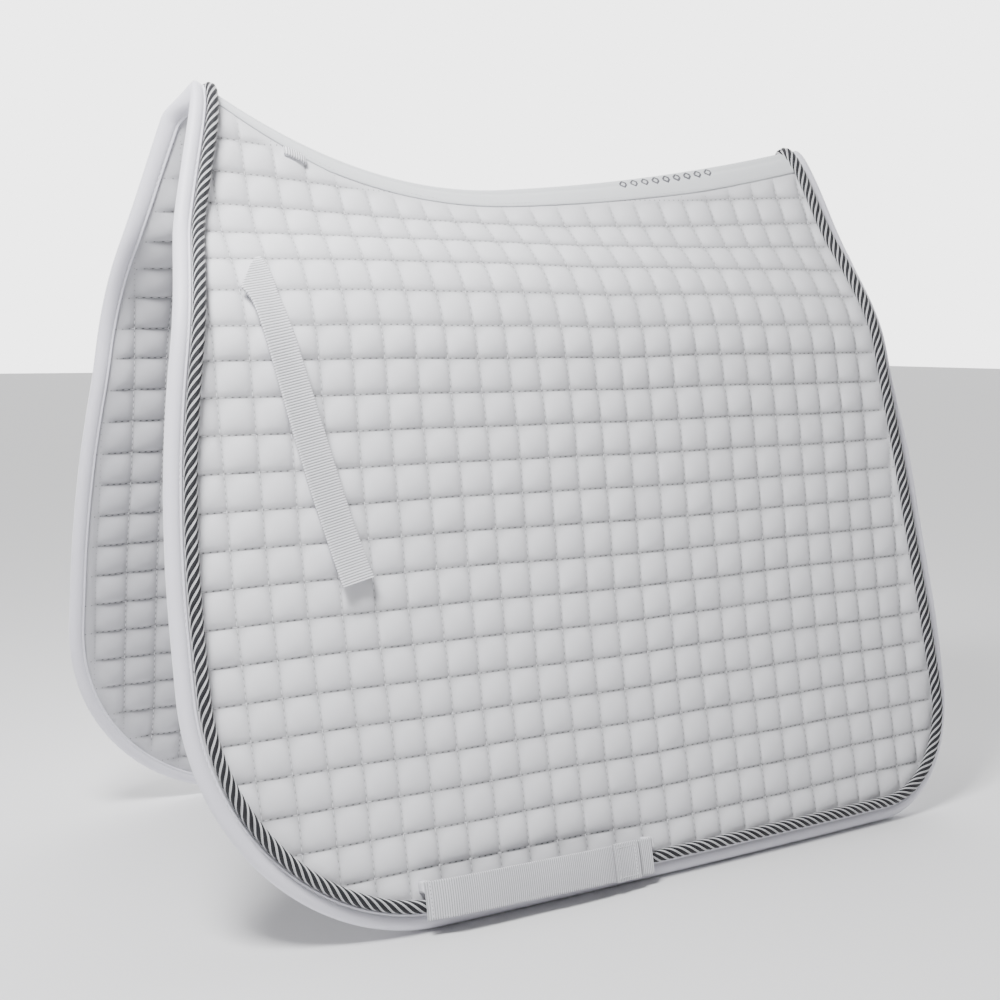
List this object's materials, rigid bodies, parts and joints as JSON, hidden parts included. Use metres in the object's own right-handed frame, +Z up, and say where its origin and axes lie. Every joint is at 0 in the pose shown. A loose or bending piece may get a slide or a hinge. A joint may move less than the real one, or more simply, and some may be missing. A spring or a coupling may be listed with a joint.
{
  "type": "quilted saddle pad",
  "caption": "White quilted dressage saddle pad with rope-trimmed edges, folding flaps, front straps and girth loops.",
  "frame": {"origin": "centre of the footprint, on the plane that the lower edges of the two flaps rest on", "axes": "+X to the rear of the pad (the horse's tail), +Y to the horse's right, +Z up"},
  "size_m": [0.6875, 0.4084, 0.5907],
  "materials": {
    "cover_cotton": "matt cotton twill",
    "lining_cotton": "matt cotton",
    "wadding": "polyester wadding",
    "binding_satin": "satin tape",
    "binding_filler": "soft cord",
    "rope": "twisted viscose and metallic yarn",
    "webbing": "ribbed nylon webbing",
    "spine_tape": "smooth woven tape",
    "thread": "polyester thread",
    "hook_and_loop": "hook and loop tape"
  },
  "bodies": {
    "spine": {"left_upper_cover": "cover_cotton", "right_upper_cover": "cover_cotton", "left_upper_wadding": "wadding", "right_upper_wadding": "wadding", "left_upper_lining": "lining_cotton", "right_upper_lining": "lining_cotton", "front_arch_binding": "binding_satin", "rear_arch_binding": "binding_satin", "front_arch_binding_filler": "binding_filler", "rear_arch_binding_filler": "binding_filler", "front_arch_rope": "rope", "rear_arch_rope": "rope", "spine_tape": "spine_tape", "spine_lining_tape": "spine_tape", "spine_stitching": "thread", "withers_tab": "webbing"},
    "left_flap": {"left_cover": "cover_cotton", "left_wadding": "wadding", "left_lining": "lining_cotton", "left_edge_binding": "binding_satin", "left_binding_filler": "binding_filler", "left_rope_trim": "rope", "left_strap_loop_patch": "hook_and_loop", "left_strap_bar_tack": "thread", "left_girth_loop": "webbing", "left_girth_loop_stitching": "thread"},
    "left_strap": {"left_front_strap": "webbing", "left_strap_hook_patch": "hook_and_loop"},
    "right_flap": {"right_cover": "cover_cotton", "right_wadding": "wadding", "right_lining": "lining_cotton", "right_edge_binding": "binding_satin", "right_binding_filler": "binding_filler", "right_rope_trim": "rope", "right_strap_loop_patch": "hook_and_loop", "right_strap_bar_tack": "thread", "right_girth_loop": "webbing", "right_girth_loop_stitching": "thread"},
    "right_strap": {"right_front_strap": "webbing", "right_strap_hook_patch": "hook_and_loop"}
  },
  "joints": [
    {"name": "left_flap_fold", "type": "hinge", "parent": "spine", "child": "left_flap", "pos_m": [0, -0.045, 0.471], "axis": [-1, 0, 0], "range_deg": [-15, 70]},
    {"name": "left_strap_lift", "type": "hinge", "parent": "left_flap", "child": "left_strap", "pos_m": [-0.254, -0.068, 0.456], "axis": [-0.9846, 0, -0.1745], "range_deg": [0, 100]},
    {"name": "right_flap_fold", "type": "hinge", "parent": "spine", "child": "right_flap", "pos_m": [0, 0.045, 0.471], "axis": [1, 0, 0], "range_deg": [-15, 70]},
    {"name": "right_strap_lift", "type": "hinge", "parent": "right_flap", "child": "right_strap", "pos_m": [-0.254, 0.068, 0.456], "axis": [0.9846, 0, 0.1745], "range_deg": [0, 100]}
  ]
}
